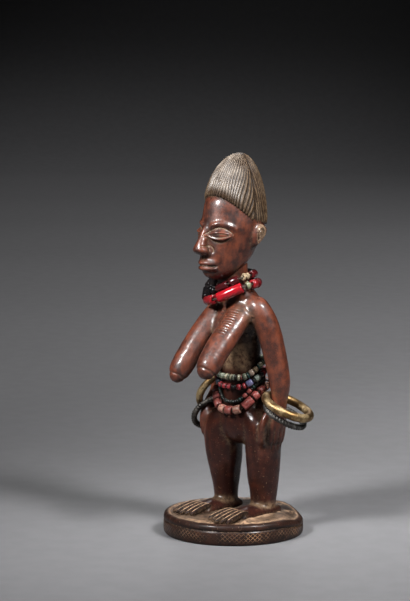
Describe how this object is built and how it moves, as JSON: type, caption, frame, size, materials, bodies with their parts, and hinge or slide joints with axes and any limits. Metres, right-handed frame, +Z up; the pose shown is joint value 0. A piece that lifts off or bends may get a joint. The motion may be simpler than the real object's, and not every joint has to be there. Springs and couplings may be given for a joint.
{
  "type": "ibeji figure",
  "caption": "Carved standing female figure on a round integral base, with a tall ridged coiffure, bead necklace, waist beads and loose bracelets.",
  "frame": {"origin": "centre of the base's flat underside", "axes": "+Z up, from the underside to the crown; the figure faces -Y and its left side is +X"},
  "size_m": [0.1046, 0.098, 0.265],
  "materials": {
    "wood": "hardwood with a dark handled patina and dust in the hollows",
    "brass": "worn, dull brass",
    "iron": "dark oxidised metal bar",
    "thread": "twisted cotton thread, darkened by handling",
    "grey_glass": "opaque grey-green glass",
    "mixed_glass": "opaque glass in crimson, blue and white",
    "dark_glass": "opaque green-black glass",
    "pink_glass": "opaque brick-pink glass with darker stripes",
    "red_glass": "opaque glossy red glass"
  },
  "bodies": {
    "root": {"figure": "wood", "left_brass_bracelet": "brass", "left_iron_bracelet": "iron", "right_brass_bracelet": "brass", "right_iron_bracelet": "iron", "waist_beads_grey": "grey_glass", "waist_beads_mixed": "mixed_glass", "waist_beads_dark": "dark_glass", "waist_bead_pink_01": "pink_glass", "waist_bead_pink_02": "pink_glass", "waist_bead_pink_03": "pink_glass", "waist_bead_pink_04": "pink_glass", "waist_bead_pink_05": "pink_glass", "waist_bead_pink_06": "pink_glass", "waist_bead_pink_07": "pink_glass", "waist_bead_pink_08": "pink_glass", "waist_bead_pink_09": "pink_glass", "waist_bead_pink_10": "pink_glass", "waist_bead_pink_11": "pink_glass", "waist_bead_pink_12": "pink_glass", "waist_bead_pink_13": "pink_glass", "waist_bead_pink_14": "pink_glass", "waist_bead_pink_15": "pink_glass", "waist_bead_pink_16": "pink_glass", "waist_bead_pink_17": "pink_glass", "waist_bead_pink_18": "pink_glass", "waist_thread": "thread", "necklace_bead_low_01": "red_glass", "necklace_bead_low_02": "red_glass", "necklace_bead_low_03": "red_glass", "necklace_bead_low_04": "red_glass", "necklace_bead_low_05": "red_glass", "necklace_bead_low_06": "red_glass", "necklace_bead_low_07": "red_glass", "necklace_bead_low_08": "red_glass", "necklace_bead_low_09": "red_glass", "necklace_bead_low_10": "red_glass", "necklace_thread_low": "thread", "necklace_bead_high_01": "red_glass", "necklace_bead_high_02": "red_glass", "necklace_bead_high_03": "red_glass", "necklace_bead_high_04": "red_glass", "necklace_bead_high_05": "red_glass", "necklace_bead_high_06": "red_glass", "necklace_bead_high_07": "red_glass", "necklace_bead_high_08": "red_glass", "necklace_bead_high_09": "red_glass", "necklace_thread_high": "thread"}
  },
  "joints": []
}
